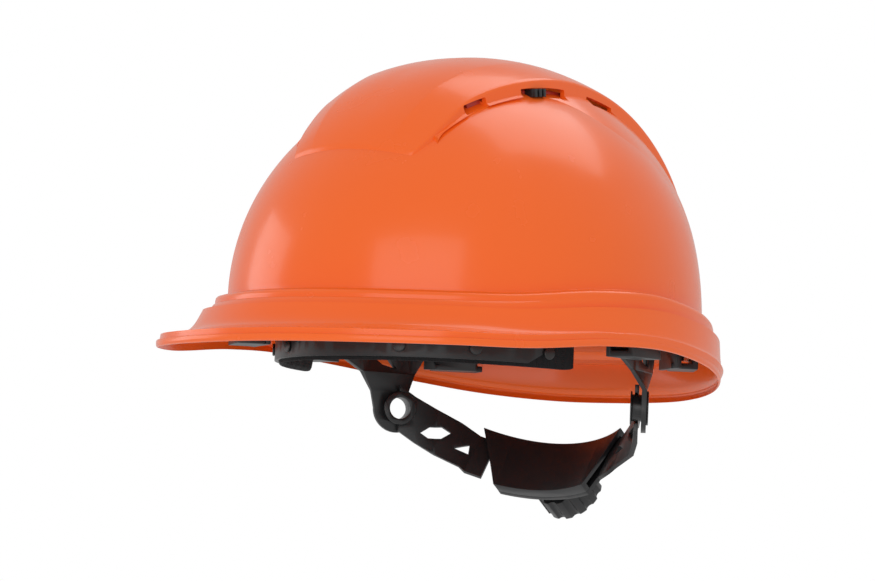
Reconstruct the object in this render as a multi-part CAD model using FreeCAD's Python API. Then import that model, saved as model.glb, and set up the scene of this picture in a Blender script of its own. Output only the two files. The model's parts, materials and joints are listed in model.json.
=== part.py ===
"""Vented safety helmet with a ratchet neckband: one STEP file per piece.

Frame: millimetres, the wearer faces -Y, the wearer's left is +X, up is +Z.
The origin lies on the middle plane, at the centre of the shell, level with the side rim.
"""
import os
import math

import FreeCAD
import Part

V = FreeCAD.Vector
DRAFT_X = V(1, 0, 0)
UP = V(0, 0, 1)

# Shell
DOME_A = 98.0            # half width of the dome at the belt line
LENGTH_RATIO = 1.2       # length over width of every level of the dome
BELT_Z = 25.0            # level of the belt step
CROWN_Z = 130.0          # outside of the dome under the crest
WALL = 2.6
SKIRT_A = 103.0          # half width just under the belt step
LIP_A = 107.0            # half width of the rain lip
LIP_H = 3.4
BRIM_Y = -150.0          # front edge of the brim
BRIM_CORNER = (82.0, -122.0)

# Crest (raised band along the crown)
CREST_A, CREST_B, CREST_C = 108.0, 121.0, 112.0   # half axes of its top surface
CREST_CY = 0.0
CREST_HALF = 45.0        # half width where the windows are
VENT_AXIS = (3.4, -35.6)  # y and z of the axis of the arc the vent shutters slide along
VENT_R = 155.0           # radius of that arc at the middle of the windows
WINDOWS = ((-21.3, 2.6), (-4.95, 5.55), (10.3, 3.5))   # (centre, half width) in degrees
WINDOW_H = 4.4
SHUTTER_ARC = (-21.7, 16.2)      # ends of a shutter in degrees, at rest
SHUTTER_PORTS = ((-11.6, -8.4), (3.5, 8.3))
SHUTTER_T = 1.6
SHUTTER_R = (-3.8, 1.4)          # below and above the arc radius
KNOB_ARC = (-8.1, -5.1)
RELIEF_ARC = (-25.5, 20.0)       # room in the crest skin over a shutter's travel
GUIDE_ARC = (-24.9, 21.3)

# Headband
BAND_A, BAND_B = 76.0, 96.0   # half axes of the outer face of the headband
BAND_T = 1.8
BAND_Z = (-3.0, 19.0)
STUDS = ((-88.0, 2.0), (-66.0, 2.0), (-34.0, 2.0))   # y and z of the sweatband rivets

# Neckband
PIVOT = V(68.0, 41.5, -17.0)     # centre of the left rings
RING_TURN = 35.0         # degrees the rings face backwards from sideways
RING_R = 11.0
BUSH_R = 6.0
BORE_R = 4.9
ARM_T = 2.2
RING_GAP = 1.3
BAND_LIFT = 8.0          # foot of the headband beside the ears
STRAP_PLATE = 1.9
# The carriage is drawn upright and then leant so that its foot is nearer the neck.
NAPE_CY = 14.0
NAPE_R = 68.0            # inside radius of the neck plate
LEAN = -35.0
LEAN_FROM = V(0, 82.0, -39.5)
LEAN_TO = V(0, 69.75, -41.75)
KNOB_Z = -39.0
KNOB_R = 14.2
CUP_R = 11.5             # ratchet housing

# Cradle
STRAP_W = 20.0
STRAP_T = 1.0
KEY_Z = 14.0
SOCKET_Z = 7.0
SOCKET = (28.0, 9.0, 15.0)     # width, depth, height of a key socket
KEYS = {
    "front_left": -55.0,
    "side_left": 2.0,
    "rear_left": 45.0,
    "rear_right": 135.0,
    "side_right": 178.0,
    "front_right": -125.0,
}
OPPOSITE = {
    "front_left": "rear_right",
    "rear_right": "front_left",
    "front_right": "rear_left",
    "rear_left": "front_right",
    "side_left": "side_right",
    "side_right": "side_left",
}


def box(lo, hi):
    """Box between two corners."""
    return Part.makeBox(hi[0] - lo[0], hi[1] - lo[1], hi[2] - lo[2], V(*lo))


def ellipsoid(a, b, c, centre):
    """Ellipsoid with the half axes a, b and c."""
    m = FreeCAD.Matrix()
    m.scale(a, b, c)
    ball = Part.makeSphere(1.0).transformGeometry(m)
    ball.translate(V(*centre))
    return ball


def elliptic_drum(a, b, z0, z1, cy=0.0):
    """Upright elliptic cylinder."""
    m = FreeCAD.Matrix()
    m.scale(a, b, 1.0)
    drum = Part.makeCylinder(1.0, z1 - z0, V(0, 0, z0)).transformGeometry(m)
    drum.translate(V(0, cy, 0))
    return drum


def revolved(points):
    """Solid of revolution about Z from (radius, z) corners, stretched along Y."""
    corners = [V(r, 0, z) for r, z in points]
    face = Part.Face(Part.makePolygon(corners + corners[:1]))
    solid = face.revolve(V(0, 0, 0), UP, 360)
    m = FreeCAD.Matrix()
    m.scale(1.0, LENGTH_RATIO, 1.0)
    return solid.transformGeometry(m)


def prism(points, z0, z1, smooth=False):
    """Upright prism over a plan outline; smooth runs a curve through the points."""
    pts = [V(x, y, z0) for x, y in points]
    if smooth:
        curve = Part.BSplineCurve()
        curve.interpolate(Points=pts, PeriodicFlag=True)
        wire = Part.Wire([curve.toShape()])
    else:
        wire = Part.makePolygon(pts + pts[:1])
    return Part.Face(wire).extrude(V(0, 0, z1 - z0))


def side_prism(points, x0, x1):
    """Prism along X over an outline given as (y, z)."""
    pts = [V(x0, y, z) for y, z in points]
    return Part.Face(Part.makePolygon(pts + pts[:1])).extrude(V(x1 - x0, 0, 0))


def mirrored(shape):
    """The same piece for the other side of the head."""
    return shape.mirror(V(0, 0, 0), DRAFT_X)


def save(shape, node):
    """Write one piece."""
    shape = shape.removeSplitter() if node != "shell" else shape
    shape.exportStep("parts/%s.step" % node)
    print(node, len(shape.Solids), shape.isValid(), round(shape.Volume, 1))


# ---------------------------------------------------------------- shell

def brim_outline(grow, inset):
    """Plan of the brim; grow 1 is the full brim and 0 leaves the skirt outline."""
    full = [(104.5, 0.0), (103.5, -45.0), (98.0, -90.0), BRIM_CORNER, (48.0, -143.0),
            (0.0, BRIM_Y)]
    right = []
    for x, y in full:
        angle = math.atan2(y / LENGTH_RATIO, x)
        sx = (SKIRT_A - 1.2) * math.cos(angle)
        sy = (SKIRT_A - 1.2) * LENGTH_RATIO * math.sin(angle)
        px = sx + (x - sx) * grow
        py = sy + (y - sy) * grow
        length = math.hypot(px, py)
        right.append((px * (1 - inset / length), py * (1 - inset / length)))
    a = SKIRT_A - 1.2 - inset
    back = [(a * math.cos(t), a * LENGTH_RATIO * math.sin(t))
            for t in (0.5, 1.05, math.pi / 2)]
    half = right[::-1] + back
    return half + [(-x, y) for x, y in half[-2:0:-1]]


def brim_loft(inset, drop, levels):
    """Flared solid whose top is the skirt and whose foot is the brim."""
    wires = []
    for z, grow in levels:
        pts = [V(x, y, z - drop) for x, y in brim_outline(grow, inset)]
        curve = Part.BSplineCurve()
        curve.interpolate(Points=pts, PeriodicFlag=True)
        wires.append(Part.Wire([curve.toShape()]))
    return Part.makeLoft(wires, True, False)


def crest_prism(inset):
    """Plan shape of the crest, narrower towards the front."""
    half = [(31.0, -93.0), (CREST_HALF, -62.0), (CREST_HALF, 62.0), (48.0, 124.0)]
    pts = [(x - inset, y) for x, y in half]
    return prism(pts + [(-x, y) for x, y in pts[::-1]], BELT_Z + 4.0, 160.0)


def crest_body(inset):
    """Crest block, inset from its outer faces."""
    body = ellipsoid(CREST_A - inset, CREST_B - inset, CREST_C - inset,
                     (0, CREST_CY, BELT_Z - 1.0))
    tip = -91.0 + 2.0 * inset
    nose = [(tip, 93.0 + 0.35 * inset), (-60.0, 121.5 - 1.5 * inset), (-60.0, 200.0),
            (200.0, 200.0), (200.0, 20.0), (tip, 20.0)]
    return body.common(crest_prism(inset)).common(side_prism(nose, -90.0, 90.0))


def vent_sector(r0, r1, a0, a1, x0, x1):
    """Block between two radii and two angles of the vent arc (degrees from up)."""
    cy, cz = VENT_AXIS
    ring = Part.makeCylinder(r1, x1 - x0, V(x0, cy, cz), DRAFT_X)
    ring = ring.cut(Part.makeCylinder(r0, x1 - x0, V(x0, cy, cz), DRAFT_X))
    reach = 2.0 * r1
    pts = [(cy, cz)]
    for a in (a0, 0.5 * (a0 + a1), a1):
        t = math.radians(a)
        pts.append((cy + reach * math.sin(t), cz + reach * math.cos(t)))
    return ring.common(side_prism(pts, x0, x1))


def key_frame(angle):
    """Point on the inner wall and outward heading for a cradle key."""
    t = math.radians(angle)
    a = SKIRT_A - WALL
    point = V(a * math.cos(t), a * LENGTH_RATIO * math.sin(t), 0)
    normal = V(math.cos(t) / a, math.sin(t) / (a * LENGTH_RATIO), 0)
    return point, math.degrees(math.atan2(normal.y, normal.x))


def placed(shape, point, heading):
    """Turn a piece drawn facing +X to a heading and move it to a point."""
    shape.rotate(V(0, 0, 0), UP, heading)
    shape.translate(point)
    return shape


def socket(angle):
    """Pocket moulded on the inner wall that takes a cradle key from below."""
    w, d, h = SOCKET
    block = box((-d, -w / 2, SOCKET_Z), (1.4, w / 2, SOCKET_Z + h))
    slot = box((-d + 2.0, -w / 2 + 2.5, 0.0), (-d + 5.4, w / 2 - 2.5, SOCKET_Z + h - 2.0))
    point, heading = key_frame(angle)
    return placed(block.cut(slot), point, heading)


def make_shell():
    """Dome, belt step, skirt, rain lip, brim and crest as one moulding."""
    height = CROWN_Z - BELT_Z
    b = DOME_A * LENGTH_RATIO
    dome = ellipsoid(DOME_A, b, height, (0, 0, BELT_Z))
    dome = dome.common(box((-200, -200, BELT_Z - 8), (200, 200, 200)))
    skirt = revolved([(0, 0), (LIP_A, 0), (LIP_A, LIP_H), (SKIRT_A + 0.4, LIP_H + 1.6),
                      (SKIRT_A, BELT_Z - 3.0), (DOME_A, BELT_Z), (0, BELT_Z)])
    top = ((0.0, 1.0), (2.6, 0.985), (6.0, 0.6), (12.0, 0.26), (20.5, 0.0))
    flare = brim_loft(0.0, 0.0, top)
    outer = dome.fuse([skirt, flare, crest_body(0.0)])
    inner_dome = ellipsoid(DOME_A - WALL, b - WALL, height - WALL, (0, 0, BELT_Z))
    inner_dome = inner_dome.common(box((-200, -200, BELT_Z - 8), (200, 200, 200)))
    a = SKIRT_A - WALL
    inner_skirt = revolved([(0, -9), (a, -9), (a, BELT_Z - 6.0),
                            (DOME_A - WALL - 0.3, BELT_Z - 2.4), (0, BELT_Z - 2.4)])
    under = brim_loft(WALL + 1.4, WALL, top)
    hollow = inner_dome.fuse(crest_body(WALL)).fuse(inner_skirt).fuse(under)
    shell = outer.cut(hollow)
    cuts = []
    for side in (1, -1):
        for centre, half in WINDOWS:
            x0, x1 = sorted((side * (CREST_HALF - 5.0), side * (CREST_HALF + 3.0)))
            cuts.append(vent_sector(VENT_R - WINDOW_H / 2, VENT_R + WINDOW_H / 2,
                                    centre - half, centre + half, x0, x1))
        x0, x1 = sorted((side * (CREST_HALF - WALL - 0.1), side * (CREST_HALF - WALL - 2.3)))
        cuts.append(vent_sector(VENT_R + SHUTTER_R[0] - 0.3, VENT_R + SHUTTER_R[1] + 0.3,
                                *RELIEF_ARC, x0, x1))
    shell = shell.cut(cuts)
    shell = shell.fuse([socket(angle) for angle in KEYS.values()])
    return shell


# ---------------------------------------------------------------- vents

def make_shutter():
    """Curved strip behind the left crest wall, with two ports; its front end opens the first."""
    x1 = CREST_HALF - WALL - 0.4
    x0 = x1 - SHUTTER_T
    strip = vent_sector(VENT_R + SHUTTER_R[0], VENT_R + SHUTTER_R[1], *SHUTTER_ARC, x0, x1)
    ports = [vent_sector(VENT_R - 2.4, VENT_R + 0.4, a0, a1, x0 - 1, x1 + 1)
             for a0, a1 in SHUTTER_PORTS]
    return strip.cut(ports)


def make_shutter_knob():
    """Ribbed thumb piece standing out of the middle window."""
    x0 = CREST_HALF - WALL - 0.4
    r0 = VENT_R - WINDOW_H / 2 + 0.4
    r1 = VENT_R + WINDOW_H / 2 - 0.4
    knob = vent_sector(r0, r1, *KNOB_ARC, x0, CREST_HALF + 1.2)
    for k in range(3):
        a = KNOB_ARC[0] + 0.05 + 1.1 * k
        rib = vent_sector(r0, r1, a, a + 0.6, CREST_HALF + 1.0, CREST_HALF + 2.6)
        knob = knob.fuse(rib)
    return knob


def make_guide():
    """Pair of curved rails, joined at the ends, that hold a shutter to the wall."""
    x1 = CREST_HALF - WALL
    x0 = x1 - 3.4
    a0, a1 = GUIDE_ARC
    frame = vent_sector(VENT_R - 5.8, VENT_R - 2.2, a0, a1, x0, x1)
    track = vent_sector(VENT_R - 4.1, VENT_R + 3.0, a0 + 0.6, a1 - 0.6, x0 + 1.1, x1 + 1)
    light = vent_sector(VENT_R - 3.2, VENT_R + 3.0, a0 + 1.3, a1 - 1.3, x0 - 1, x1 + 1)
    return frame.cut([track, light])


# ---------------------------------------------------------------- headband

def band_strip(offset, thick, z0, z1):
    """Upright strip along the head ellipse, offset outwards from the headband."""
    a = BAND_A + offset
    b = BAND_B + offset
    strip = elliptic_drum(a + thick, b + thick, z0, z1)
    return strip.cut(elliptic_drum(a, b, z0 - 1, z1 + 1))


def make_headband():
    """Hoop round the forehead and temples, open at the nape."""
    hoop = band_strip(-BAND_T, BAND_T, *BAND_Z)
    hoop = hoop.cut(box((-100, 64, -20), (100, 120, 40)))
    lift = [(-44.0, -20.0), (-44.0, BAND_Z[0]), (-26.0, BAND_LIFT), (120.0, BAND_LIFT),
            (120.0, -20.0)]
    hoop = hoop.cut(side_prism(lift, -100.0, 100.0))
    slots = []
    for side in (1, -1):
        for k in range(3):
            y = -30.0 + 15.0 * k
            slots.append(box((side * 75 - 12, y, 12.0), (side * 75 + 12, y + 8.0, 16.0)))
    return hoop.cut(slots)


def make_sweatband():
    """Soft pad lining the front of the headband."""
    pad = band_strip(-BAND_T - 0.3 - 4.2, 4.2, BAND_Z[0] - 1.5, BAND_Z[1] + 2.0)
    return pad.common(box((-100, -120, -30), (100, -18, 60)))


def ellipse_point(y, offset):
    """Point and outward heading (degrees) on the offset head ellipse at one y."""
    a = BAND_A + offset
    b = BAND_B + offset
    x = a * math.sqrt(1 - (y / b) ** 2)
    return V(x, y, 0), math.degrees(math.atan2(y / b ** 2, x / a ** 2))


def make_studs():
    """Rivets that hold the sweatband on the headband."""
    studs = []
    for y, z in STUDS:
        point, heading = ellipse_point(y, 0.0)
        stem = Part.makeCylinder(1.4, BAND_T + 0.1, V(-BAND_T - 0.1, 0, 0), DRAFT_X)
        head = Part.makeCylinder(2.8, 1.0, V(0, 0, 0), DRAFT_X)
        stud = placed(stem.fuse(head), point + V(0, 0, z), heading)
        studs += [stud, mirrored(stud)]
    return Part.makeCompound(studs)


def cut_stud_holes(hoop):
    """Holes of the headband that the studs pass through."""
    holes = []
    for y, z in STUDS:
        point, heading = ellipse_point(y, 0.0)
        hole = placed(Part.makeCylinder(1.45, 8.0, V(-4, 0, 0), DRAFT_X),
                      point + V(0, 0, z), heading)
        holes += [hole, mirrored(hole)]
    return hoop.cut(holes)


# ---------------------------------------------------------------- arms and straps

def ring_axes():
    """Outward normal of the left rings and the direction backwards along them."""
    t = math.radians(RING_TURN)
    return V(math.cos(t), math.sin(t), 0), V(-math.sin(t), math.cos(t), 0)


def ring_point(along, out, z):
    """Point given along the ring plane, outwards from it, and by height."""
    normal, back = ring_axes()
    return V(PIVOT.x, PIVOT.y, z) + normal * out + back * along


def bush_axis(n0, n1, radius):
    """Cylinder on the axis of the left rings, between two offsets outwards."""
    normal, _ = ring_axes()
    return Part.makeCylinder(radius, n1 - n0, ring_point(0.0, n0, PIVOT.z), normal)


def bush_hole(radius):
    """Clearance hole through the rings."""
    return bush_axis(-14.0, 14.0, radius)


def ruled(sections):
    """Solid through closed four-cornered sections."""
    return Part.makeLoft([Part.makePolygon(c + c[:1]) for c in sections], True, True)


def pierce(points, direction):
    """Cutter through a flat outline, both ways along a direction."""
    middle = sum(points, V(0, 0, 0)) * (1.0 / len(points))
    flat = [q - direction * (q - middle).dot(direction) - direction * 9.0 for q in points]
    return Part.Face(Part.makePolygon(flat + flat[:1])).extrude(direction * 18.0)


def make_arm():
    """Left hanger arm: clip on the headband, twisted waist, ring at the foot."""
    clip = side_prism([(6, 14), (62, 14), (55.5, 9), (50, -1.2), (23, -1.2), (14, 3), (6, 5.5)],
                      40, 100)
    clip = band_strip(0.1, ARM_T, -40, 30).common(clip)
    upper = []
    for y, offset in ((23.0, 0.1), (50.0, 0.1), (50.0, ARM_T + 0.1), (23.0, ARM_T + 0.1)):
        point, _ = ellipse_point(y, offset)
        upper.append(V(point.x, point.y, -1.0))
    lower = [ring_point(-a, n, -9.5) for a, n in ((12.6, 0), (-5.2, 0), (-5.2, ARM_T),
                                                  (12.6, ARM_T))]
    foot = [ring_point(-a, n, PIVOT.z) for a, n in ((RING_R, 0), (-RING_R, 0),
                                                    (-RING_R, ARM_T), (RING_R, ARM_T))]
    leaf = side_prism([(27.5, 6.3), (36.0, 7.3), (41.5, 0.8), (33.5, 2.6)], 40, 100)
    arm = clip.fuse([ruled([upper, lower]), ruled([lower, foot]), bush_axis(0, ARM_T, RING_R)])
    return arm.cut([leaf, bush_hole(BUSH_R + 0.02)])


def make_bush():
    """Hollow rivet through the arm and strap rings."""
    inner = -(RING_GAP + STRAP_PLATE)
    body = bush_axis(inner - 1.8, ARM_T + 0.9, BUSH_R)
    body = body.fuse([bush_axis(inner - 1.8, inner - 1.0, BUSH_R + 1.5),
                      bush_axis(ARM_T, ARM_T + 0.9, BUSH_R + 1.6)])
    return body.cut(bush_hole(BORE_R))


def nape_point(angle, radius):
    """Plan point on the nape arc; the angle is from straight back towards the left."""
    t = math.radians(angle)
    return (radius * math.sin(t), NAPE_CY + radius * math.cos(t))


def leant(shape):
    """Turn a piece drawn upright into the leaning carriage."""
    shape = shape.copy()
    shape.rotate(LEAN_FROM, DRAFT_X, LEAN)
    shape.translate(LEAN_TO - LEAN_FROM)
    return shape


def leant_point(point):
    """The same turn for one point."""
    turn = FreeCAD.Rotation(DRAFT_X, LEAN)
    return turn.multVec(point - LEAN_FROM) + LEAN_TO


def plate_section(top, foot, normal):
    """Four corners of a strap section from its middle line and the plate normal."""
    half = normal.normalize() * (STRAP_PLATE / 2)
    return [top - half, foot - half, foot + half, top + half]


def carriage_section(angle, z_top, z_foot):
    """Strap section inside the leaning carriage."""
    x, y = nape_point(angle, NAPE_R + 3.5)
    t = math.radians(angle)
    normal = FreeCAD.Rotation(DRAFT_X, LEAN).multVec(V(math.sin(t), math.cos(t), 0))
    return plate_section(leant_point(V(x, y, z_top)), leant_point(V(x, y, z_foot)), normal)


def make_strap():
    """Left neck strap: ring, twisting band with two cutouts, end inside the carriage."""
    out = -(RING_GAP + STRAP_PLATE / 2)
    normal, _ = ring_axes()
    sections = [
        plate_section(ring_point(0.0, out, -6.6), ring_point(0.0, out, -27.4), V(normal)),
        plate_section(ring_point(8.0, out, -11.6), ring_point(8.0, out, -32.4), V(normal)),
        plate_section(V(56.8, 56.6, -16.6), V(55.2, 53.2, -37.4), V(0.76, 0.64, -0.10)),
        plate_section(V(47.6, 64.2, -22.6), V(43.4, 57.0, -42.6), V(0.63, 0.73, -0.26)),
        carriage_section(34.0, -29.4, -49.6),
        carriage_section(27.5, -29.4, -49.6),
    ]
    ring = bush_axis(out - STRAP_PLATE / 2, out + STRAP_PLATE / 2, RING_R)
    strap = ring.fuse([ruled([a, b]) for a, b in zip(sections, sections[1:])])
    long_leaf = [V(62, 50.5, -28.1), V(60, 55.0, -25.2), V(56, 59.0, -25.0),
                 V(53, 61.5, -27.6), V(56, 58.0, -30.4), V(60, 53.5, -30.4)]
    short_leaf = [V(50.0, 60.5, -35.0), V(43.0, 64.0, -32.8), V(43.0, 63.0, -37.6)]
    return strap.cut([pierce(long_leaf, V(0.76, 0.64, -0.10).normalize()),
                      pierce(short_leaf, V(0.63, 0.73, -0.26).normalize()),
                      bush_hole(BUSH_R + 0.9)])


# ---------------------------------------------------------------- neck carriage

def nape_sector(r0, r1, half_angle, z0, z1, a0=None):
    """Upright sector of the nape arc, even about the middle plane unless a0 is given."""
    ring = Part.makeCylinder(r1, z1 - z0, V(0, NAPE_CY, z0))
    ring = ring.cut(Part.makeCylinder(r0, z1 - z0, V(0, NAPE_CY, z0)))
    start = -half_angle if a0 is None else a0
    pts = [(0.0, NAPE_CY)]
    for k in range(3):
        a = start + (half_angle - start) * k / 2.0
        pts.append(nape_point(a, 2.5 * r1))
    return ring.common(prism(pts, z0, z1))


def slanted(shape):
    """Cut the ends of a neck plate so that it narrows downwards."""
    cutter = []
    for side in (1, -1):
        pts = [V(side * 39.2, 20, -24.0), V(side * 80.0, 20, -24.0), V(side * 80.0, 20, -60.0),
               V(side * 21.0, 20, -60.0)]
        face = Part.Face(Part.makePolygon(pts + pts[:1]))
        cutter.append(face.extrude(V(0, 100, 0)))
    return shape.cut(cutter)


def make_neck_inner():
    """Inner plate of the neck carriage with ledges that carry the cover."""
    plate = nape_sector(NAPE_R, NAPE_R + 2.0, 44.0, -51.0, -26.0)
    top = nape_sector(NAPE_R + 1.9, NAPE_R + 5.0, 44.0, -28.0, -26.0)
    foot = nape_sector(NAPE_R + 1.9, NAPE_R + 5.0, 40.0, -53.0, -51.0)
    plate = plate.fuse([top, foot, nape_sector(NAPE_R, NAPE_R + 2.0, 30.0, -53.0, -50.9)])
    return slanted(plate)


def make_neck_cover():
    """Outer cover of the neck carriage."""
    cover = nape_sector(NAPE_R + 5.0, NAPE_R + 7.0, 44.0, -53.0, -26.0)
    hole = Part.makeCylinder(5.2, 40, V(0, 70, KNOB_Z), V(0, 1, 0))
    return slanted(cover).cut(hole)


def make_rack(z0, z1):
    """Left rack: toothed tongue that runs in the carriage past the pinion."""
    return nape_sector(NAPE_R + 2.3, NAPE_R + 4.4, 17.0, z0, z1, -8.0)


# ---------------------------------------------------------------- ratchet

def spin(radius, y0, y1):
    """Disc on the knob axis."""
    return Part.makeCylinder(radius, y1 - y0, V(0, y0, KNOB_Z), V(0, 1, 0))


def make_housing():
    """Ratchet housing: cup on the cover with a toothed inner rim."""
    bore = CUP_R - 2.3
    cup = spin(CUP_R, 87.6, 95.0).cut([spin(bore, 90.6, 96.0), spin(5.2, 80, 96)])
    arc = Part.makeCylinder(NAPE_R + 7.02, 80, V(0, NAPE_CY, -80))
    teeth = []
    for k in range(24):
        t = math.radians(15.0 * k)
        x = bore * math.cos(t)
        z = KNOB_Z + bore * math.sin(t)
        teeth.append(Part.makeCylinder(0.5, 3.6, V(x, 90.6, z), V(0, 1, 0)))
    return cup.cut(arc).fuse(teeth)


def make_pawl():
    """Ratchet spring: hub with two bowed arms that click over the teeth."""
    hub = spin(5.0, 91.0, 93.6).cut(spin(2.6, 90, 95))
    arms = []
    for turn in (0, 180):
        arm = box((4.0, 91.0, KNOB_Z - 1.0), (8.1, 93.6, KNOB_Z + 0.6))
        arm.rotate(V(0, 0, KNOB_Z), V(0, 1, 0), turn)
        arms.append(arm)
    return hub.fuse(arms)


def make_knob():
    """Ribbed ratchet knob over the housing."""
    knob = spin(KNOB_R, 92.0, 103.0).cut(spin(CUP_R + 0.4, 91.0, 98.0))
    knob = knob.fuse(spin(5.6, 94.0, 98.5))
    grips = []
    for k in range(12):
        t = math.radians(30.0 * k)
        x = (KNOB_R + 1.2) * math.cos(t)
        z = KNOB_Z + (KNOB_R + 1.2) * math.sin(t)
        grips.append(Part.makeCylinder(2.4, 14, V(x, 91, z), V(0, 1, 0)))
    bore = spin(2.6, 80, 101.4)
    return knob.cut(grips + [bore])


def make_pinion():
    """Pinion between the two racks."""
    return spin(3.4, 84.3, 86.5).fuse(spin(4.6, 86.5, 91.0)).cut(spin(2.6, 80, 92))


def make_axle():
    """Axle pin through knob, pawl and pinion."""
    return spin(2.55, 84.3, 101.3)


# ---------------------------------------------------------------- cradle

def crown_strap(start, end, rise):
    """Textile band from one key over the crown to the opposite key."""
    p0, _ = key_frame(KEYS[start])
    p1, _ = key_frame(KEYS[end])
    reach = 0.5 * (p0 - p1).Length - 13.5
    mid = (p0 + p1) * 0.5
    z0 = KEY_Z
    top = 101.0 + rise
    centre_z = (top ** 2 - reach ** 2 - z0 ** 2) / (2.0 * (top - z0))
    radius = top - centre_z
    ring = Part.makeCylinder(radius, STRAP_W, V(0, -STRAP_W / 2, centre_z), V(0, 1, 0))
    ring = ring.cut(Part.makeCylinder(radius - STRAP_T, STRAP_W, V(0, -STRAP_W / 2, centre_z),
                                      V(0, 1, 0)))
    ring = ring.common(box((-200, -50, KEY_Z - 8.0), (200, 50, 200)))
    heading = math.degrees(math.atan2((p0 - p1).y, (p0 - p1).x))
    return placed(ring, mid, heading)


def make_key(name):
    """Plastic key: blade in the socket, foot, and stem behind the textile band."""
    w, d, h = SOCKET
    point, heading = key_frame(KEYS[name])
    across, _ = key_frame(KEYS[OPPOSITE[name]])
    line = math.degrees(math.atan2((point - across).y, (point - across).x))
    foot_z = SOCKET_Z - 4.6
    blade = box((-d + 2.3, -w / 2 + 3.0, foot_z + 2.6), (-d + 5.1, w / 2 - 3.0, SOCKET_Z + h - 4))
    foot = box((-d - 7.0, -w / 2 + 3.0, foot_z), (-d + 5.1, w / 2 - 3.0, foot_z + 2.6))
    stem = box((-d - 8.6, -w / 2 + 2.0, foot_z), (-d - 6.4, w / 2 - 2.0, KEY_Z + 4.0))
    wall_side = placed(blade.fuse(foot), point, heading)
    return wall_side.fuse(placed(stem, point, line))


def main():
    """Build every piece and write it."""
    os.makedirs("parts", exist_ok=True)
    save(make_shell(), "shell")
    pairs = {
        "vent_shutter": make_shutter(),
        "shutter_knob": make_shutter_knob(),
        "vent_guide": make_guide(),
        "hanger_arm": make_arm(),
        "pivot_bush": make_bush(),
        "neck_strap": make_strap(),
    }
    for name, shape in pairs.items():
        save(shape, name + "_left")
        save(mirrored(shape), name + "_right")
    save(cut_stud_holes(make_headband()), "headband")
    save(make_sweatband(), "sweatband")
    save(make_studs(), "sweatband_studs")
    carriage = {
        "neck_inner_plate": make_neck_inner(),
        "neck_outer_cover": make_neck_cover(),
        "rack_left": make_rack(KNOB_Z + 3.8, KNOB_Z + 9.0),
        "rack_right": mirrored(make_rack(KNOB_Z - 8.7, KNOB_Z - 3.8)),
        "ratchet_housing": make_housing(),
        "ratchet_pawl": make_pawl(),
        "ratchet_knob": make_knob(),
        "ratchet_pinion": make_pinion(),
        "ratchet_axle": make_axle(),
    }
    for name, shape in carriage.items():
        save(leant(shape), name)
    save(crown_strap("side_left", "side_right", 0.0), "crown_strap_across")
    save(crown_strap("front_left", "rear_right", 3.0), "crown_strap_front_left")
    save(crown_strap("front_right", "rear_left", 6.0), "crown_strap_front_right")
    for name in KEYS:
        save(make_key(name), "cradle_key_" + name)


main()
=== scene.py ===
"""Looks of a vented safety helmet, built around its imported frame."""
import json
import logging
import math
from collections.abc import Sequence
from dataclasses import dataclass, field
from enum import Enum

import bmesh
import bpy
import numpy as np
from mathutils import Matrix, Vector


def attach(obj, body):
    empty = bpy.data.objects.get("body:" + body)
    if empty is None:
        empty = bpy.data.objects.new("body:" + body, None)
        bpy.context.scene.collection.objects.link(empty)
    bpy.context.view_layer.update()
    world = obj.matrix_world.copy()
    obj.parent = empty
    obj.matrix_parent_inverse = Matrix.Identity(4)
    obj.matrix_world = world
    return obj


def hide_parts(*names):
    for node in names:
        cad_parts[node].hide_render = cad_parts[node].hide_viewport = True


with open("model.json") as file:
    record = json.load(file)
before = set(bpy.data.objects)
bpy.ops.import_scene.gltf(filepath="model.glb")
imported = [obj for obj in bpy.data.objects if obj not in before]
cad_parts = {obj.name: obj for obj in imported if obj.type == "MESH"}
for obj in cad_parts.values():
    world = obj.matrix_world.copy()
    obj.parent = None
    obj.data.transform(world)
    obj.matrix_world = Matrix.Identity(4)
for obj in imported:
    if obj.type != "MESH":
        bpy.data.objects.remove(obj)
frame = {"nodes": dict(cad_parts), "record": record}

logging.basicConfig(level=logging.INFO, format="%(message)s")
LOG = logging.getLogger("helmet")

MM = 0.001
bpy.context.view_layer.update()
KEY_ANGLES = {
    "front_left": -55.0,
    "side_left": 2.0,
    "rear_left": 45.0,
    "rear_right": 135.0,
    "side_right": 178.0,
    "front_right": -125.0,
}


class Body(str, Enum):
    """Moving groups of the frame."""

    HELMET = "helmet"
    NECKBAND = "neckband"


# ---------------------------------------------------------------- small tools


def smooth_lookup(table: Sequence[tuple[float, float]], at: np.ndarray) -> np.ndarray:
    """Cubic curve through a table of values.

    Args:
        table: Pairs of position and value, in rising order of position.
        at: Positions to read, clamped to the table.

    Returns:
        The value at every position.
    """
    xs = np.array([p[0] for p in table])
    ys = np.array([p[1] for p in table])
    slopes = np.gradient(ys, xs)
    x = np.clip(at, xs[0], xs[-1])
    i = np.clip(np.searchsorted(xs, x, side="right") - 1, 0, len(xs) - 2)
    step = xs[i + 1] - xs[i]
    t = (x - xs[i]) / step
    rise = ys[i + 1] - ys[i]
    curve = slopes[i] * step * t * (1 - t) ** 2 - slopes[i + 1] * step * t**2 * (1 - t)
    return ys[i] + rise * t**2 * (3 - 2 * t) + curve


def grid_faces(rows: int, cols: int, wrap_rows: bool, wrap_cols: bool) -> list[tuple[int, ...]]:
    """Quads of a grid of points stored row by row.

    Args:
        rows: Number of rows.
        cols: Number of points in a row.
        wrap_rows: Whether the last row joins the first.
        wrap_cols: Whether the last point of a row joins its first.

    Returns:
        Four corner numbers for every quad.
    """
    faces = []
    for r in range(rows if wrap_rows else rows - 1):
        for c in range(cols if wrap_cols else cols - 1):
            r2 = (r + 1) % rows
            c2 = (c + 1) % cols
            faces.append((r * cols + c, r * cols + c2, r2 * cols + c2, r2 * cols + c))
    return faces


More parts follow.
